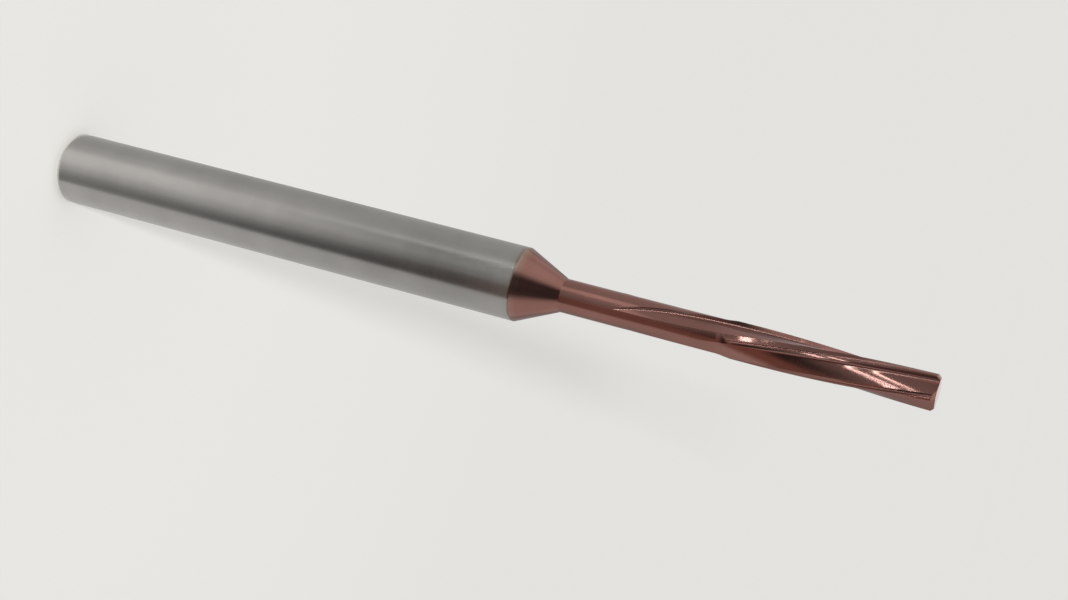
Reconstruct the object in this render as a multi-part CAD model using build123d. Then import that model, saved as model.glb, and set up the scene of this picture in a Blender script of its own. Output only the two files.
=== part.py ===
from build123d import *
from math import cos, radians, sin, sqrt, tan
import os

# A solid carbide reamer for one small hole size, ground from a single rod.
# It stands on the flat end of its shank, which is the plane Z = 0. The axis is +Z, and the tip is up.
# Lengths are in millimetres and angles in degrees.

# Lengths along the axis
overall_length = 50.0
shank_length = 28.0
cutting_length = 10.6

# Diameters
shank_diameter = 4.0
neck_diameter = 1.8
cutting_diameter = 1.95

# Ground edges and tapers
shank_chamfer = 0.3
lead_chamfer = 0.2
cone_half_angle = 25.0
step_half_angle = 10.0

# The four teeth are spaced unevenly against chatter. Opposite edges stay in line, for measuring
narrow_spacing = 80.0
helix_lead = 52.0

# Land of one tooth, by the angles behind its cutting edge: a round margin that stands proud of a narrow land,
# and past that land a wide flat that falls away
margin_end = 6.5
margin_height = 0.025
land_start = 8.0
land_end = 14.0
flat_bearing = 27.0

# Section of a flute, square to the axis: the narrow flutes lie in the narrow spaces
rake_angle = 3.0
face_depth = 0.29
corner_fillet = 0.12
floor_bulge = 0.035
narrow_flute = 57.5
wide_flute = 67.5

# The wheel draws off sideways on a large arc, which makes the long run-out into the neck
wheel_radius = 35.0
runout_start = 33.0
draw_off_bearing = 90.0

# Spacing of the sections that a helical cut is drawn through
section_spacing = 1.6
clear_of_tip = 0.8

# Reach of the cuts beyond the metal
air = 0.8
reach_out = 1.4
overshoot = 0.08

shank_radius = shank_diameter / 2
neck_radius = neck_diameter / 2
cutting_radius = cutting_diameter / 2
cone_top = shank_length + (shank_radius - neck_radius) / tan(radians(cone_half_angle))
cutting_start = overall_length - cutting_length
step_start = cutting_start - (cutting_radius - neck_radius) / tan(radians(step_half_angle))
flute_widths = [narrow_flute, wide_flute, narrow_flute, wide_flute]
tooth_bearings = [0, narrow_spacing, 180, 180 + narrow_spacing]
face_line = Vector(cos(radians(rake_angle)), sin(radians(rake_angle)))
cutting_edge = Vector(cutting_radius, 0)
flute_corner = cutting_edge - face_line * face_depth


def polar(radius, bearing):
    """A point square to the axis, at a radius and a bearing in degrees."""
    return Vector(radius * cos(radians(bearing)), radius * sin(radians(bearing)))


def turned_body():
    """The blank: shank, cone, neck, step and cutting diameter, turned about the axis."""
    outline = Polyline(
        (0, 0),
        (shank_radius - shank_chamfer, 0),
        (shank_radius, shank_chamfer),
        (shank_radius, shank_length),
        (neck_radius, cone_top),
        (neck_radius, step_start),
        (cutting_radius, cutting_start),
        (cutting_radius, overall_length - lead_chamfer),
        (cutting_radius - lead_chamfer, overall_length),
        (0, overall_length),
        close=True,
    )
    return revolve(Plane.XZ * make_face(outline), Axis.Z)


def flute_section(width):
    """The flute in front of a cutting edge on +X: straight face, rounded corner and slightly proud floor."""
    heel = polar(neck_radius, width)
    floor = SagittaArc(flute_corner, heel, -floor_bulge)
    floor_out = heel + (floor % 1) * air
    face_out = cutting_edge + face_line * air
    far_corner = polar(cutting_radius + 2 * air, width / 2)
    outside = Polyline(floor_out, far_corner, face_out)
    section = make_face([Line(face_out, flute_corner), floor, Line(heel, floor_out), outside])
    root = section.vertices().sort_by_distance(flute_corner)[0]
    return fillet(root, corner_fillet)


def relief_section():
    """What is ground off behind the margin of a cutting edge on +X: its narrow land and its wide flat."""
    land_radius = cutting_radius - margin_height
    ledge = polar(land_radius, -land_start)
    rise = polar(cutting_radius, -margin_end) - ledge
    brink = polar(land_radius, -land_end)
    flat_end = polar(land_radius, land_end - 2 * flat_bearing)
    past_flat = flat_end * reach_out
    past_margin = ledge + rise * (1 + reach_out)
    outside = polar(cutting_radius * reach_out, -flat_bearing)
    return make_face(Polyline(ledge, brink, flat_end, past_flat, outside, past_margin, close=True))


def helical_cut(section, start, draw_off):
    """A solid that follows the left-hand helix from a height to past the tip, through copies of a section."""
    end = overall_length + clear_of_tip
    steps = round((end - start) / section_spacing)
    heights = [start + (end - start) * i / steps for i in range(steps + 1)]
    copies = []
    for height in heights:
        turn = 360 * (overall_length - height) / helix_lead
        shift = polar(draw_off(height), draw_off_bearing)
        copies.append(Pos(0, 0, height) * Rot(0, 0, turn) * Pos(shift.X, shift.Y) * section)
    return loft(copies)


def flute_cut(width):
    """A flute of even depth that runs out into the neck, where its corner is the last to leave the metal."""
    at_neck = sqrt(neck_radius**2 - flute_corner.X**2) - flute_corner.Y
    in_air = sqrt(cutting_radius**2 - flute_corner.X**2) - flute_corner.Y
    full_depth_from = runout_start + sqrt(2 * wheel_radius * at_neck)
    start = full_depth_from - sqrt(2 * wheel_radius * in_air)

    def draw_off(height):
        return max(full_depth_from - height, 0) ** 2 / (2 * wheel_radius)

    return helical_cut(flute_section(width), start, draw_off)


def relief_cut():
    """The fall of the land behind its margin, over the cutting part and its step."""
    return helical_cut(relief_section(), step_start - overshoot, lambda height: 0)


def reamer():
    """The ground tool."""
    tool = turned_body()
    relief = relief_cut()
    flutes = {width: flute_cut(width) for width in (narrow_flute, wide_flute)}
    for bearing, width in zip(tooth_bearings, flute_widths):
        tool -= Rot(0, 0, bearing) * flutes[width]
        tool -= Rot(0, 0, bearing) * relief
    return tool


os.makedirs("parts", exist_ok=True)
tool = reamer()
tool.label = "reamer"
export_step(tool, "parts/reamer.step")
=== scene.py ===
import math

import bmesh
import bpy
import numpy as np
from mathutils import Matrix, Vector


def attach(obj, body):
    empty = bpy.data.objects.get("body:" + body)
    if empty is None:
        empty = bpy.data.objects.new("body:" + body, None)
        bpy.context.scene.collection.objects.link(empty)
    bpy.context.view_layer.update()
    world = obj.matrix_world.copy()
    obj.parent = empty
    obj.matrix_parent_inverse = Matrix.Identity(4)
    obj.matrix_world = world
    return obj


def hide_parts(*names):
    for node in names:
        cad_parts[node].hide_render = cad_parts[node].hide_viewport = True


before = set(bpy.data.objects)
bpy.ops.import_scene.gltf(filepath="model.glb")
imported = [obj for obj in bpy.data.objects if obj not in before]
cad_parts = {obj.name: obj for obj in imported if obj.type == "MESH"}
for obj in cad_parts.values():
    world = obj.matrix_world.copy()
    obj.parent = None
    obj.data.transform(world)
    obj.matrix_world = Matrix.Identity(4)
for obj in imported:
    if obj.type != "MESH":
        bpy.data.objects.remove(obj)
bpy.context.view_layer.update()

# The tool's sizes in millimetres and degrees, as the solid has them. Only the shank is a hair slimmer, so
# that its fine facets stay inside the box of the solid's coarse ones
MM = 0.001
LENGTH = 50.0
SHANK_LENGTH = 28.0
CUTTING_LENGTH = 10.6
SHANK_RADIUS = 1.995
NECK_RADIUS = 0.9
CUTTING_RADIUS = 0.975
SHANK_CHAMFER = 0.3
LEAD_CHAMFER = 0.2
CONE_HALF_ANGLE = 25.0
STEP_HALF_ANGLE = 10.0
HELIX_LEAD = 52.0

# Heights where the blank changes. The small step to the cutting part is rounded off at both ends
CONE_TOP = SHANK_LENGTH + (SHANK_RADIUS - NECK_RADIUS) / math.tan(math.radians(CONE_HALF_ANGLE))
CUTTING_START = LENGTH - CUTTING_LENGTH
STEP_START = CUTTING_START - (CUTTING_RADIUS - NECK_RADIUS) / math.tan(math.radians(STEP_HALF_ANGLE))
EASE_START = STEP_START - 0.15
EASE_END = CUTTING_START + 0.35
LEAD_START = LENGTH - LEAD_CHAMFER

# Each tooth: its cutting edge's bearing, the width of the flute in front of it and the way to the next edge
TEETH = ((0.0, 57.5, 80.0), (80.0, 67.5, 100.0), (180.0, 57.5, 80.0), (260.0, 67.5, 100.0))

# The land behind an edge, by angle and radius: the margin's end, the narrow land's two ends, the flat's end
LAND_RADIUS = 0.95
LAND = ((6.5, CUTTING_RADIUS), (8.0, LAND_RADIUS), (14.0, LAND_RADIUS), (40.0, LAND_RADIUS))

# Section of a flute whose cutting edge is on +X
RAKE_ANGLE = 3.0
FACE_DEPTH = 0.29
CORNER_FILLET = 0.12
FLOOR_BULGE = 0.035
REACH_OUT = 0.8
FACE_LINE = np.array([math.cos(math.radians(RAKE_ANGLE)), math.sin(math.radians(RAKE_ANGLE))])
CUTTING_EDGE = np.array([CUTTING_RADIUS, 0.0])
CORNER = CUTTING_EDGE - FACE_LINE * FACE_DEPTH

# The wheel draws off sideways on a large arc, which makes the long run-out into the neck
WHEEL_RADIUS = 35.0
RUNOUT_START = 33.0
FLUTES_START = RUNOUT_START - 0.02
DRAW_OFF_BEARING = 90.0
DEPTH_IN_NECK = math.sqrt(NECK_RADIUS ** 2 - CORNER[0] ** 2) - CORNER[1]
FULL_DEPTH_START = RUNOUT_START + math.sqrt(2 * WHEEL_RADIUS * DEPTH_IN_NECK)

# Mesh points of one tooth: its flute's face, corner and floor, then its land's flat, narrow land, ledge
# and margin
FACE_POINTS, CORNER_POINTS, FLOOR_POINTS = 6, 11, 14
FLUTE_POINTS = FACE_POINTS + CORNER_POINTS + FLOOR_POINTS
LAND_POINTS = (14, 3, 2, 5)

# Points of the finer section that the flute's are read from, whose floor goes on as a straight tail
FINE_FACE, FINE_CORNER, FINE_FLOOR, FINE_TAIL = 160, 24, 160, 80

# Rings of the mesh: how many on each plain stretch, their heights on the neck and their spacing elsewhere
SHANK_RINGS, CONE_RINGS, EASE_RINGS, LEAD_RINGS = 16, 6, 20, 13
NECK_RINGS = [31.0, 31.8, 32.5]
RUNOUT_SPACING, RING_SPACING = 0.05, 0.06
RUNOUT_RINGS_END = 34.0
FIRST_GAP, CLEAR_OF_EASE, CLEAR_OF_LEAD = 0.03, 0.02, 0.03

# Mesh points nearer to each other than this become one, in metres: at the flutes' far ends and elsewhere
MERGE_AT_ENDS, MERGE = 3e-6, 2e-7
FLUTE_ENDS_TOP = RUNOUT_START + 0.15

# The side that faces the camera, the side that is up in its picture, and up
VIEW_BEARING = 54.4
FACING = Vector((math.cos(math.radians(VIEW_BEARING)), math.sin(math.radians(VIEW_BEARING)), 0))
ACROSS = Vector((math.sin(math.radians(VIEW_BEARING)), -math.cos(math.radians(VIEW_BEARING)), 0))
UP = Vector((0, 0, 1))

# Camera at the photograph's viewing angle: its right, down and forward axes along the three above, and where
# it sees the shank's end, along its own axes in millimetres
CAMERA_AXES = (
    (-0.30270, 0.25363, 0.91872),
    (-0.07266, -0.96728, 0.24309),
    (-0.95031, -0.00683, -0.31122),
)
SHANK_END = (-26.3081, -7.6159, 101.6932)
FOCAL_PIXELS = 1773.287
PHOTO_WIDTH = 1068
SENSOR_WIDTH = 36.0

# Colors of the tool. The coating has an olive tone at its edge, which is softer on the side given here
BARE_TONES = ((0.3, (0.488, 0.470, 0.443)), (0.7, (0.552, 0.533, 0.504)))
COAT_TONES = ((0.3, (0.315, 0.156, 0.130)), (0.7, (0.375, 0.187, 0.157)))
COAT_SPECKS = (0.24, 0.10, 0.075)
OLIVE = (0.42, 0.36, 0.26)
SOFT_SIDE = (0.961, -0.276)
GRINDING_SCALE = (300.0, 300.0, 26000.0)

# The floor with a painted pool of light near the tool, the backdrop past it, whose shade the floor partly
# takes on as well, and the light
FLOOR_SIZE = 3.0
FLOOR_TONES = ((0.3, (0.792, 0.792, 0.781)), (0.7, (0.798, 0.798, 0.787)))
# Painted pool of light: the floor's colour close to the tool
FLOOR_PAINTED_LIGHT_NEAR_TOOL = (0.838, 0.838, 0.826)
BACKDROP = (0.772, 0.764, 0.735)
BACKDROP_SHARE = 0.15
WORLD_COLOR = (1.0, 0.99, 0.965)
WORLD_STRENGTH = 0.796
SUN = {"azimuth": 4.1, "elevation": 13.0, "strength": 2.4, "angle": 3.5}

# The reflection cards: a disc just above the floor and a wall round it, by radius and height
CARD_HOLE, CARD_REACH, CARD_TOP, CARD_LIFT = 0.0023, 0.16, 0.25, 0.0001
CARD_RINGS = [(radius, CARD_LIFT) for radius in (CARD_HOLE, 0.02, 0.06, CARD_REACH)]
CARD_RINGS += [(CARD_REACH, CARD_TOP)]
CARD_SIDES = 72

# Tones of the cards by azimuth from the side that faces the camera. The first three are what the shank shows
# of the floor: close to its end, further out, and what its upper part shows
CLOSE = (
    (-180, 0.60), (-131, 0.64), (-76, 0.60), (-60, 0.60), (-54, 0.29), (-42, 0.24), (-30, 0.30), (-18, 0.40),
    (-3, 0.54), (13, 0.74), (31, 0.84), (48, 0.84), (60, 0.64), (70, 0.56), (90, 0.48), (117, 0.47),
    (179, 0.55),
)
MIDDLE = (
    (-180, 0.57), (-92, 0.57), (-70, 0.56), (-58, 0.52), (-54, 0.14), (-42, 0.115), (-31, 0.20), (-18, 0.32),
    (-5, 0.41), (8, 0.55), (21, 0.65), (34, 0.67), (46, 0.70), (56, 0.63), (66, 0.56), (80, 0.50),
    (96, 0.47), (118, 0.44), (179, 0.50),
)
UPPER = (
    (-180, 0.55), (-118, 0.52), (-92, 0.47), (-66, 0.43), (-58, 0.42), (-54, 0.055), (-34, 0.04),
    (-18, 0.055), (-2, 0.13), (15, 0.23), (31, 0.17), (39, 0.18), (46, 0.55), (54, 0.38), (60, 0.35),
    (87, 0.41), (112, 0.44), (152, 0.48), (179, 0.50),
)

# What the neck shows further out still
DIM_RED = (0.33, 0.23, 0.20)
DISTANT = (
    (-180, 0.35), (-135, 0.42), (-100, 0.62), (-64, 0.66), (-48, DIM_RED), (-20, DIM_RED), (4, 0.38),
    (16, 0.46), (30, 0.54), (38, 0.9), (56, 0.9), (64, 0.52), (179, 0.60),
)

# What the cutting part shows of the wall, low down, and then what its end and the cone show higher up
DEEP_RED = (0.35, 0.215, 0.17)
LOW_WALL = (
    (-180, 0.36), (-135, 0.45), (-100, 0.55), (-66, 0.62), (-57, DEEP_RED), (-36, DEEP_RED), (-22, 0.06),
    (-8, 0.06), (1, 0.14), (9, 0.23), (28, 0.42), (66, 0.34), (104, 0.28), (122, 0.50), (152, 0.50),
    (162, 0.07), (179, 0.05),
)
MIDDLE_WALL = (
    (-180, 0.75), (-72, 0.66), (-58, 0.56), (-42, 0.22), (-16, 0.15), (-4, 0.40), (10, 0.62), (30, 0.62),
    (48, 0.80), (66, 0.74), (104, 0.66), (137, 0.80), (179, 0.85),
)
HIGH_WALL = (
    (-180, 0.75), (-100, 0.68), (-72, 0.66), (-58, 0.54), (-45, 0.22), (-38, 0.10), (-20, 0.07), (14, 0.065),
    (22, 0.14), (31, 0.36), (42, 0.68), (62, 0.80), (82, 0.80), (104, 0.70), (137, 0.80), (179, 0.85),
)

# A bright card on the far side, which the flat tip shows
TIP_CARD = (0.95, 0.90, 0.88)

# The lamps, and how much lighter the cards are in a second reflection and for the floor
LAMP_COLOR = (0.44, 0.56, 0.60)
LAMP_STRENGTH = 26.0
SECOND_REFLECTION = (2.2, 3.4, 4.0)
BACK_ON_FLOOR = (1.5, 1.5, 1.45)


def polar(radius, bearing):
    """A point or points square to the axis, at a radius and a bearing in degrees."""
    a = np.radians(bearing)
    return np.stack([radius * np.cos(a), radius * np.sin(a)], axis=-1)


def rotate(points, degrees):
    c, s = math.cos(math.radians(degrees)), math.sin(math.radians(degrees))
    return points @ np.array([[c, s], [-s, c]])


def arc(centre, radius, first, last, count):
    """Points on a circle from one direction to another, the shorter way round."""
    start = math.atan2(first[1], first[0])
    turn = (math.atan2(last[1], last[0]) - start + math.pi) % (2 * math.pi) - math.pi
    a = start + turn * np.linspace(0, 1, count)
    return centre + radius * np.stack([np.cos(a), np.sin(a)], axis=-1)


def bulging_arc(start, end, bulge, count):
    """Points on the arc between two points that stands proud of its chord, on the chord's right."""
    chord = end - start
    length = np.hypot(*chord)
    left = np.array([-chord[1], chord[0]]) / length
    radius = (length ** 2 / 4 + bulge ** 2) / (2 * bulge)
    centre = start + chord / 2 + left * (radius - bulge)
    return arc(centre, radius, start - centre, end - centre, count)


def flute_profile(width):
    """The flute from outside its cutting edge, down the face, round the corner and up the floor to outside.

    With it go the places of the rounded corner's first and last point.
    """
    floor_line = bulging_arc(CORNER, polar(NECK_RADIUS, width), FLOOR_BULGE, FINE_FLOOR)
    along = floor_line[1] - floor_line[0]
    along /= np.hypot(*along)
    half_angle = math.acos(FACE_LINE @ along) / 2
    tangent_length = CORNER_FILLET / math.tan(half_angle)
    bisector = (FACE_LINE + along) / np.hypot(*(FACE_LINE + along))
    centre = CORNER + bisector * CORNER_FILLET / math.sin(half_angle)
    on_face = CORNER + FACE_LINE * tangent_length
    on_floor = CORNER + along * tangent_length
    fillet = arc(centre, CORNER_FILLET, on_face - centre, on_floor - centre, FINE_CORNER)

    outside = CUTTING_EDGE + FACE_LINE * REACH_OUT
    face = outside + (fillet[0] - outside) * np.linspace(0, 1, FINE_FACE)[:, None]
    past_fillet = floor_line[np.hypot(*(floor_line - CORNER).T) > tangent_length]
    last_step = floor_line[-1] - floor_line[-2]
    last_step /= np.hypot(*last_step)
    tail = floor_line[-1] + last_step * np.linspace(0.01, REACH_OUT, FINE_TAIL)[:, None]
    points = np.vstack([face[:-1], fillet, past_fillet, tail])
    return points, FINE_FACE - 1, FINE_FACE + FINE_CORNER - 2


PROFILES = {width: flute_profile(width) for _, width, _ in TEETH}


def draw_off(height):
    """How far the wheel has drawn off sideways at a height."""
    return max(FULL_DEPTH_START - height, 0.0) ** 2 / (2 * WHEEL_RADIUS)


def outer_radius(height):
    """Radius of the blank at a height."""
    if EASE_START < height < EASE_END:
        part = (height - EASE_START) / (EASE_END - EASE_START)
        return NECK_RADIUS + (CUTTING_RADIUS - NECK_RADIUS) * (1 - math.cos(math.pi * part)) / 2
    blank = (
        (0, SHANK_RADIUS - SHANK_CHAMFER),
        (SHANK_CHAMFER, SHANK_RADIUS),
        (SHANK_LENGTH, SHANK_RADIUS),
        (CONE_TOP, NECK_RADIUS),
        (EASE_START, NECK_RADIUS),
        (EASE_END, CUTTING_RADIUS),
        (LEAD_START, CUTTING_RADIUS),
        (LENGTH, CUTTING_RADIUS - LEAD_CHAMFER),
    )
    return float(np.interp(height, *zip(*blank)))


def land_radius(height, behind):
    """Radius of the land at an angle behind its edge: margin, ledge, narrow land, then the wide flat."""
    radius = np.full(np.shape(behind), outer_radius(height))
    if height <= STEP_START:
        return radius
    ray = polar(1.0, behind)
    for (first, first_radius), (last, last_radius) in zip(LAND[:-1], LAND[1:]):
        start = polar(first_radius, first)
        along = polar(last_radius, last) - start
        offset = start[0] * along[1] - start[1] * along[0]
        chord = offset / (ray[..., 0] * along[1] - ray[..., 1] * along[0])
        radius = np.where((behind > first) & (behind < last), np.minimum(radius, chord), radius)
    return radius


def inside(points, limit):
    """A run of points up to where it crosses the limit radius that goes with each point."""
    radius = np.hypot(*points.T)
    beyond = np.nonzero(radius >= limit)[0]
    if len(beyond) == 0:
        return points
    i = beyond[0]
    if i == 0:
        return points[:1]
    part = (limit[i - 1] - radius[i - 1]) / ((radius[i] - radius[i - 1]) - (limit[i] - limit[i - 1]))
    return np.vstack([points[:i], points[i - 1] + (points[i] - points[i - 1]) * part])


def nearest(points, target):
    """Place of the point that is nearest to a target."""
    return int(np.argmin(np.hypot(*(points - target).T)))


def flute_outline(height, width, spacing):
    """Mesh points of a flute at a height, from cutting edge to heel. Outside the metal they are all one."""
    points, fillet_start, fillet_end = PROFILES[width]
    moved = points + polar(draw_off(max(height, FLUTES_START)), DRAW_OFF_BEARING)
    bearings = np.degrees(np.arctan2(moved[:, 1], moved[:, 0]))
    limit = land_radius(height, spacing - bearings)
    limit = np.where(bearings < 45, outer_radius(height), limit)
    gap = np.hypot(*moved.T) - limit
    deepest = int(np.argmin(gap))
    if height <= FLUTES_START or gap[deepest] >= 0:
        return np.repeat(polar(outer_radius(height), bearings[deepest])[None], FLUTE_POINTS, axis=0)
    up = inside(moved[: deepest + 1][::-1], limit[: deepest + 1][::-1])
    down = inside(moved[deepest:], limit[deepest:])
    whole = np.vstack([up[::-1], down[1:]])

    # Where the face ends and where the floor starts, with points left for face, corner and floor
    last = len(whole) - 1
    if last > 3:
        face_end = min(max(nearest(whole, moved[fillet_start]), 1), last - 2)
        floor_start = max(min(max(nearest(whole, moved[fillet_end]), 2), last - 1), face_end + 1)
    else:
        face_end, floor_start = 1, min(2, last)
    distance = np.r_[0, np.cumsum(np.hypot(*np.diff(whole, axis=0).T))]
    stations = np.r_[
        np.linspace(0, distance[face_end], FACE_POINTS + 1)[:-1],
        np.linspace(distance[face_end], distance[floor_start], CORNER_POINTS + 1)[:-1],
        np.linspace(distance[floor_start], distance[-1], FLOOR_POINTS),
    ]
    return np.stack([np.interp(stations, distance, whole[:, axis]) for axis in (0, 1)], axis=-1)


def section(height):
    """Closed outline of the tool at a height: for each tooth its flute, then the land up to the next edge."""
    turn = 360 * (LENGTH - max(height, FLUTES_START)) / HELIX_LEAD
    flutes = [flute_outline(height, width, spacing) for _, width, spacing in TEETH]
    ring = []
    for flute, following, (bearing, _, spacing) in zip(flutes, flutes[1:] + flutes[:1], TEETH):
        heel = math.degrees(math.atan2(flute[-1][1], flute[-1][0]))
        edge = math.degrees(math.atan2(following[0][1], following[0][0])) + spacing
        stops = [heel] + [spacing - behind for behind, _ in LAND[2::-1]] + [edge]
        runs = zip(stops[:-1], stops[1:], LAND_POINTS)
        bearings = np.concatenate([np.linspace(first, last, n + 1)[:-1] for first, last, n in runs])[1:]
        land = polar(1.0, bearings) * land_radius(height, spacing - bearings)[:, None]
        ring.append(rotate(np.vstack([flute, land]), bearing + turn))
    return np.vstack(ring)


def heights():
    """Heights of the mesh's rings: few on the shank and neck, and close together along the flutes."""
    z = [0.0]
    z += list(np.linspace(SHANK_CHAMFER, SHANK_LENGTH, SHANK_RINGS))
    z += list(np.linspace(SHANK_LENGTH, CONE_TOP, CONE_RINGS)[1:])
    z += NECK_RINGS
    z += [FLUTES_START]
    z += list(np.arange(FLUTES_START + FIRST_GAP, RUNOUT_RINGS_END, RUNOUT_SPACING))
    z += list(np.arange(RUNOUT_RINGS_END, EASE_START - CLEAR_OF_EASE, RING_SPACING))
    z += list(np.linspace(EASE_START, EASE_END, EASE_RINGS))
    z += list(np.arange(EASE_END + RING_SPACING, LEAD_START - CLEAR_OF_LEAD, RING_SPACING))
    z += list(np.linspace(LEAD_START, LENGTH, LEAD_RINGS))
    return z


def add_object(name, data):
    """A new object in the scene that holds some data."""
    obj = bpy.data.objects.new(name, data)
    bpy.context.scene.collection.objects.link(obj)
    return obj


def add_mesh(name, bm):
    """A new object in the scene with the mesh that was built."""
    mesh = bpy.data.meshes.new(name)
    bm.to_mesh(mesh)
    bm.free()
    return add_object(name, mesh)


def skin(bm, rings):
    """Faces between rings that all have the same number of vertices."""
    for low, high in zip(rings[:-1], rings[1:]):
        for k in range(len(low)):
            after = (k + 1) % len(low)
            bm.faces.new((low[k], low[after], high[after], high[k]))


def ground_tool():
    """The tool's surface through its sections, smooth but for the ground edges."""
    levels = heights()
    bm = bmesh.new()
    rings = [[bm.verts.new((x * MM, y * MM, z * MM)) for x, y in section(z)] for z in levels]
    skin(bm, rings)
    bm.faces.new(rings[0][::-1])
    bm.faces.new(rings[-1])
    for face in bm.faces:
        face.smooth = True

    # Sharp rings where the blank changes its slope
    sharp_levels = (0.0, SHANK_CHAMFER, SHANK_LENGTH, CONE_TOP, LEAD_START, LENGTH)
    for ring, z in zip(rings, levels):
        if any(abs(z - level) < 1e-6 for level in sharp_levels):
            for start, end in zip(ring, ring[1:] + ring[:1]):
                bm.edges.get((start, end)).smooth = False

    # Sharp lines along each flute's cutting edge and heel, and along the narrow land and the margin
    tooth_points = len(rings[0]) // len(TEETH)
    flute_lines = [0, FLUTE_POINTS - 1]
    land_lines = [FLUTE_POINTS + sum(LAND_POINTS[:k]) - 1 for k in (1, 2, 3)]
    for low, high, z in zip(rings[:-1], rings[1:], levels):
        if z < RUNOUT_START:
            continue
        lines = flute_lines + land_lines if z >= STEP_START else flute_lines
        for tooth in range(len(TEETH)):
            for line in lines:
                k = tooth * tooth_points + line
                bm.edges.get((low[k], high[k])).smooth = False

    # The points of a flute that hasn't started yet become one, and so do those of its fine far end
    flute_ends = [v for v in bm.verts if v.co.z < FLUTE_ENDS_TOP * MM]
    bmesh.ops.remove_doubles(bm, verts=flute_ends, dist=MERGE_AT_ENDS)
    bmesh.ops.remove_doubles(bm, verts=bm.verts, dist=MERGE)
    bmesh.ops.recalc_face_normals(bm, faces=bm.faces)
    return add_mesh("ground_tool", bm)


class Nodes:
    """Small helper that makes and links shader nodes."""

    def __init__(self, tree):
        self.tree = tree

    def new(self, kind, **settings):
        node = self.tree.nodes.new("ShaderNode" + kind)
        for key, value in settings.items():
            setattr(node, key, value)
        return node

    def link(self, a, b):
        self.tree.links.new(a, b)

    def put(self, socket, value):
        """A number, a color or another node's output goes into a socket."""
        if isinstance(value, tuple):
            socket.default_value = (*value, 1.0)
        elif isinstance(value, (int, float)):
            socket.default_value = value
        else:
            self.link(value, socket)

    def math(self, operation, *values, clamp=False):
        node = self.new("Math", operation=operation, use_clamp=clamp)
        for socket, value in zip(node.inputs, values):
            self.put(socket, value)
        return node.outputs[0]

    def product(self, *factors):
        result = factors[0]
        for factor in factors[1:]:
            result = self.math("MULTIPLY", result, factor)
        return result

    def step(self, value, start, length):
        """From 0 at a start to 1 past a length. A negative length runs the other way."""
        return self.math("DIVIDE", self.math("SUBTRACT", value, start), length, clamp=True)

    def mix(self, factor, a, b, blend="MIX"):
        """A mix of two colors. Their sockets come after the ones for numbers and vectors."""
        node = self.new("Mix", data_type="RGBA", blend_type=blend)
        for socket, value in zip((node.inputs[0], node.inputs[6], node.inputs[7]), (factor, a, b)):
            self.put(socket, value)
        return node.outputs[2]

    def mix_numbers(self, factor, a, b):
        node = self.new("Mix", data_type="FLOAT")
        for socket, value in zip((node.inputs[0], node.inputs[2], node.inputs[3]), (factor, a, b)):
            self.put(socket, value)
        return node.outputs[0]

    def mix_shaders(self, factor, a, b):
        node = self.new("MixShader")
        for socket, value in zip(node.inputs, (factor, a.outputs[0], b.outputs[0])):
            self.put(socket, value)
        return node.outputs[0]

    def noise(self, vector, scale, detail=3.0, rough=0.5):
        node = self.new("TexNoise")
        for name, value in (("Scale", scale), ("Detail", detail), ("Roughness", rough), ("Vector", vector)):
            self.put(node.inputs[name], value)
        return node.outputs["Fac"]

    def ramp(self, factor, stops):
        """A color ramp through stops, each a position with a color or a grey tone."""
        node = self.new("ValToRGB")
        elements = node.color_ramp.elements
        while len(elements) < len(stops):
            elements.new(0.5)
        for element, (position, color) in zip(elements, stops):
            element.position = position
            element.color = (*color, 1.0) if isinstance(color, tuple) else (color, color, color, 1.0)
        self.link(factor, node.inputs[0])
        return node.outputs[0]

    def place(self):
        """The point in the object's own coordinates, its x, y and z, and its distance from the axis."""
        point = self.new("TexCoord").outputs["Object"]
        axes = self.new("SeparateXYZ")
        self.link(point, axes.inputs[0])
        x, y, z = axes.outputs
        square = self.math("ADD", self.math("MULTIPLY", x, x), self.math("MULTIPLY", y, y))
        return point, x, y, z, self.math("POWER", square, 0.5)


def new_material(name):
    """A material, the helper for its nodes, and its plain shader."""
    material = bpy.data.materials.new(name)
    material.use_nodes = True
    return material, Nodes(material.node_tree), material.node_tree.nodes["Principled BSDF"]


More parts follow.
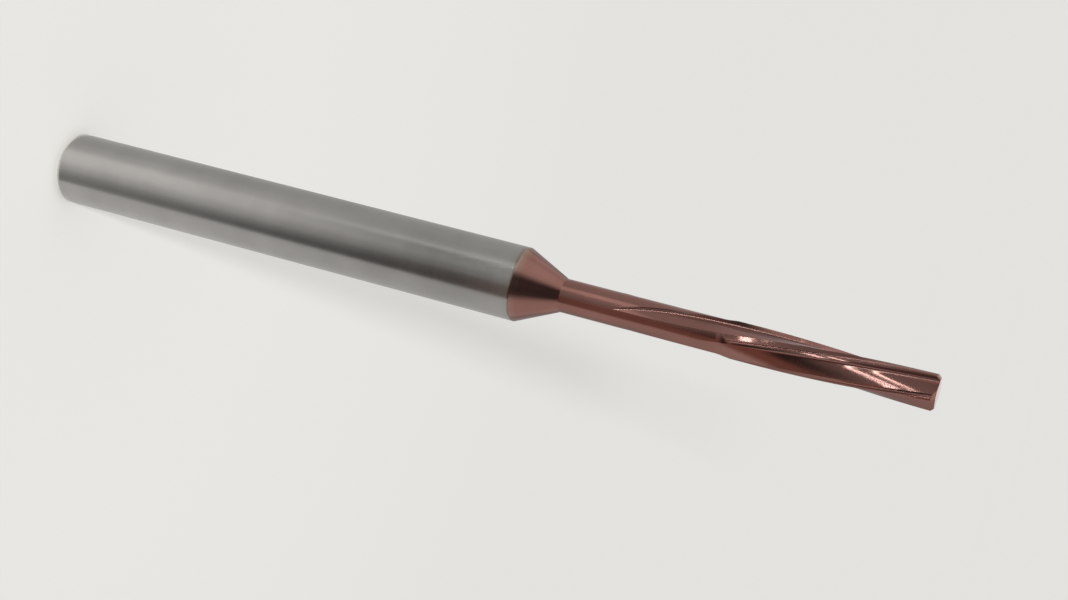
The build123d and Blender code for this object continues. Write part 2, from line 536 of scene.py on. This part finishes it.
def ground_carbide():
    """Bare ground carbide on the shank, and a thin copper-brown coating from the cone's edge to the tip."""
    material, n, shader = new_material("ground_carbide")
    point, x, y, z, radius = n.place()
    height = n.math("MULTIPLY", z, 1 / MM)

    # The coating ends at the cone's lower edge in a faint olive tone, and more softly on one side
    side = n.math("ADD", n.math("MULTIPLY", x, SOFT_SIDE[0]), n.math("MULTIPLY", y, SOFT_SIDE[1]))
    lean = n.math("DIVIDE", side, n.math("MAXIMUM", radius, 0.0001))
    spread = n.math("POWER", n.math("MAXIMUM", lean, 0.0), 1.5)
    edge_noise = n.noise(point, 900.0, 4.0, 0.6)
    line = n.math("MULTIPLY_ADD", n.math("SUBTRACT", edge_noise, 0.5), 0.25, SHANK_LENGTH - 0.05)
    above = n.math("SUBTRACT", height, line)
    softness = n.math("MULTIPLY_ADD", spread, 0.3, 0.05)
    coat = n.math("ADD", n.math("DIVIDE", above, softness), 0.5, clamp=True)
    from_edge = n.math("ABSOLUTE", n.math("DIVIDE", n.math("SUBTRACT", above, 0.05), 0.4))
    olive = n.math("SUBTRACT", 1.0, from_edge, clamp=True)
    olive = n.math("MULTIPLY", olive, n.math("MULTIPLY_ADD", spread, 0.25, 0.25))

    # Very fine grinding lines round the axis, broad tone changes and fine specks
    stretched = n.new("Mapping")
    stretched.inputs["Scale"].default_value = GRINDING_SCALE
    n.link(point, stretched.inputs["Vector"])
    lines = n.noise(stretched.outputs[0], 1.0, 5.0, 0.65)
    broad = n.noise(point, 420.0)
    specks = n.noise(point, 9000.0, 2.0)

    brown = n.mix(n.math("MULTIPLY", specks, 0.25), n.ramp(broad, COAT_TONES), COAT_SPECKS)
    color = n.mix(coat, n.ramp(broad, BARE_TONES), brown)
    n.link(n.mix(olive, color, OLIVE), shader.inputs["Base Color"])

    rough_bare = n.math("MULTIPLY_ADD", lines, 0.11, 0.16)
    rough_coat = n.math("MULTIPLY_ADD", lines, 0.07, 0.06)
    n.link(n.mix_numbers(coat, rough_bare, rough_coat), shader.inputs["Roughness"])

    bump = n.new("Bump")
    bump.inputs["Strength"].default_value = 0.12
    bump.inputs["Distance"].default_value = 0.00001
    n.link(lines, bump.inputs["Height"])
    n.link(bump.outputs[0], shader.inputs["Normal"])
    shader.inputs["Metallic"].default_value = 1.0
    return material


def pale_floor():
    """A pale matt floor, painted a little lighter near the tool as a painted pool of light, that partly takes
    on the backdrop's even shade.
    """
    material, n, shader = new_material("pale_floor")
    point = n.new("TexCoord").outputs["Object"]
    cloud = n.noise(point, 6.0, 2.0)
    distance = n.new("VectorMath", operation="LENGTH")
    n.link(point, distance.inputs[0])
    # Painted pool of light: the floor's colour is painted lighter within 25 mm of the tool, fading out by 95
    # mm
    near = n.step(distance.outputs["Value"], 0.095, -0.07)
    n.link(n.mix(near, n.ramp(cloud, FLOOR_TONES), FLOOR_PAINTED_LIGHT_NEAR_TOOL), shader.inputs["Base Color"])
    shader.inputs["Roughness"].default_value = 1.0
    shader.inputs["Specular IOR Level"].default_value = 0.0

    even = n.new("Emission")
    even.inputs["Color"].default_value = (*BACKDROP, 1.0)
    seen = n.math("MULTIPLY", n.new("LightPath").outputs["Is Camera Ray"], BACKDROP_SHARE)
    n.link(n.mix_shaders(seen, shader, even), n.tree.nodes["Material Output"].inputs["Surface"])
    return material


def card_material():
    """Light and dark cards round the tool, by their azimuth from the side that faces the camera."""
    material, n, shader = new_material("reflection_cards")
    n.tree.nodes.remove(shader)
    _, x, y, z, radius = n.place()

    # Close to the shank the azimuth is stretched, so that the bands run straight down to its end
    shortening = n.math("DIVIDE", 0.5 * SHANK_RADIUS * MM, radius)
    stretch = n.math("DIVIDE", 0.5 / math.pi, n.math("SUBTRACT", 1.0, shortening))
    azimuth = n.math("MULTIPLY_ADD", n.math("ARCTAN2", y, x), stretch, 0.5)

    def tones(stops, along=azimuth):
        """Tones by azimuth, which the shader has as 0 to 1 for a whole turn."""
        return n.ramp(along, [((degrees + 180) / 360, tone) for degrees, tone in stops])

    # The floor's tones follow each other outwards, and the wall's upwards
    shade = n.mix(n.step(radius, 0.006, 0.023), tones(CLOSE), tones(MIDDLE))
    shade = n.mix(n.step(radius, 0.029, 0.034), shade, tones(UPPER))
    shade = n.mix(n.step(radius, 0.084, 0.012), shade, tones(DISTANT))
    shade = n.mix(n.step(z, 0.001, 0.003), shade, tones(LOW_WALL))
    shade = n.mix(n.step(z, 0.036, 0.010), shade, tones(MIDDLE_WALL))
    shade = n.mix(n.step(z, 0.064, 0.016), shade, tones(HIGH_WALL))
    to_back = n.math("ABSOLUTE", n.math("SUBTRACT", azimuth, 0.5))
    shade = n.mix(n.product(n.step(z, 0.052, 0.006), n.step(to_back, 0.46, 0.02)), shade, TIP_CARD)

    def lamp(first, last, level, turn):
        """A lamp between two azimuths, turned on by some degrees."""
        along = n.math("MULTIPLY_ADD", turn, -1 / 360, azimuth)
        stops = ((-180, 0.0), (first - 1, 0.0), (first, level), (last, level), (last + 1, 0.0), (179, 0.0))
        return tones(stops, along)

    # The lamps are strips low on the sides, two of them leaning, and only a first reflection shows them
    foot = n.product(lamp(26.0, 33.0, 1.0, 0.0), n.step(z, 0.003, 0.003), n.step(z, 0.0098, -0.0015))
    near_lean = n.math("MULTIPLY", n.step(z, 0.023, -0.009), 9.0)
    near = n.product(lamp(26.0, 27.5, 1.0, near_lean), n.step(z, 0.0135, 0.001))
    far_lean = n.math("MULTIPLY", n.step(z, 0.019, -0.004), -5.0)
    far = n.product(lamp(45.5, 47.0, 0.7, far_lean), n.step(z, 0.0135, 0.002))
    path = n.new("LightPath")
    first_reflection = n.math("LESS_THAN", path.outputs["Ray Depth"], 1.5)
    glow = n.math("ADD", n.math("ADD", foot, near), far, clamp=True)
    glow = n.product(glow, n.step(z, 0.043, -0.005), first_reflection)
    shade = n.mix(glow, shade, LAMP_COLOR)

    # Away from the foot a second reflection is lit up, as the flutes would else look black, and so is what
    # the floor gets back
    later_reflection = n.product(n.math("SUBTRACT", 1.0, first_reflection), n.step(radius, 0.03, 0.04))
    shade = n.mix(later_reflection, shade, SECOND_REFLECTION, blend="MULTIPLY")
    from_floor = n.math("GREATER_THAN", path.outputs["Diffuse Depth"], 0.5)
    shade = n.mix(from_floor, shade, BACK_ON_FLOOR)
    emission = n.new("Emission")
    n.link(shade, emission.inputs["Color"])
    n.link(n.math("MULTIPLY_ADD", glow, LAMP_STRENGTH, 1.0), emission.inputs["Strength"])
    n.link(emission.outputs[0], n.tree.nodes["Material Output"].inputs["Surface"])
    return material


def reflection_cards():
    """One sheet of cards on the floor and up the sides, which only the metal's reflections see."""
    bm = bmesh.new()
    turns = np.linspace(0, 2 * math.pi, CARD_SIDES + 1)[:-1]
    rings = [[bm.verts.new((r * math.cos(a), r * math.sin(a), z)) for a in turns] for r, z in CARD_RINGS]
    skin(bm, rings)
    cards = add_mesh("reflection_cards", bm)
    cards.data.materials.append(card_material())

    # Its X points to the camera's side and its Y to the side that is up in the picture
    cards.rotation_euler = (0, 0, math.radians(VIEW_BEARING))
    cards.scale = (1, -1, 1)
    cards.visible_camera = False
    cards.visible_diffuse = False
    cards.visible_transmission = False
    cards.visible_volume_scatter = False
    cards.visible_shadow = False


def floor():
    bm = bmesh.new()
    bmesh.ops.create_grid(bm, x_segments=8, y_segments=8, size=FLOOR_SIZE)
    sheet = add_mesh("floor", bm)
    sheet.data.materials.append(pale_floor())


def camera():
    right, down, forward = (FACING * a + ACROSS * b + UP * c for a, b, c in CAMERA_AXES)
    place = -(right * SHANK_END[0] + down * SHANK_END[1] + forward * SHANK_END[2]) * MM
    data = bpy.data.cameras.new("camera")
    data.sensor_width = SENSOR_WIDTH
    data.lens = FOCAL_PIXELS / PHOTO_WIDTH * SENSOR_WIDTH
    data.clip_start = 0.005
    data.clip_end = 10.0
    obj = add_object("camera", data)
    rows = [[right[i], -down[i], -forward[i], place[i]] for i in range(3)]
    obj.matrix_world = Matrix(rows + [[0, 0, 0, 1]])
    bpy.context.scene.camera = obj


def studio():
    """Even light from all sides. Past the floor's edge the backdrop goes on in the floor's own shade."""
    world = bpy.data.worlds.new("studio")
    bpy.context.scene.world = world
    world.use_nodes = True
    n = Nodes(world.node_tree)
    light = n.tree.nodes["Background"]
    light.inputs["Color"].default_value = (*WORLD_COLOR, 1.0)
    light.inputs["Strength"].default_value = WORLD_STRENGTH
    backdrop = n.new("Background")
    backdrop.inputs["Color"].default_value = (*BACKDROP, 1.0)
    path = n.new("LightPath")
    seen = n.math("ADD", path.outputs["Is Camera Ray"], path.outputs["Is Glossy Ray"])
    seen = n.math("ADD", seen, path.outputs["Is Transmission Ray"], clamp=True)
    n.link(n.mix_shaders(seen, light, backdrop), n.tree.nodes["World Output"].inputs["Surface"])


def sun(azimuth, elevation, strength, angle):
    """The key light, by its azimuth from the side that faces the camera, and its elevation."""
    data = bpy.data.lights.new("key", "SUN")
    data.energy = strength
    data.angle = math.radians(angle)
    a, e = math.radians(azimuth), math.radians(elevation)
    towards = FACING * math.cos(a) * math.cos(e) + ACROSS * math.sin(a) * math.cos(e) + UP * math.sin(e)
    add_object("key", data).rotation_euler = (-towards).to_track_quat("-Z", "Y").to_euler()


# The tool's dense ground surface stands for the plain solid
tool = ground_tool()
tool.data.materials.append(ground_carbide())
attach(tool, "root")
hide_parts("reamer")

camera()
floor()
reflection_cards()
studio()
sun(**SUN)

scene = bpy.context.scene
scene.view_settings.view_transform = "Standard"
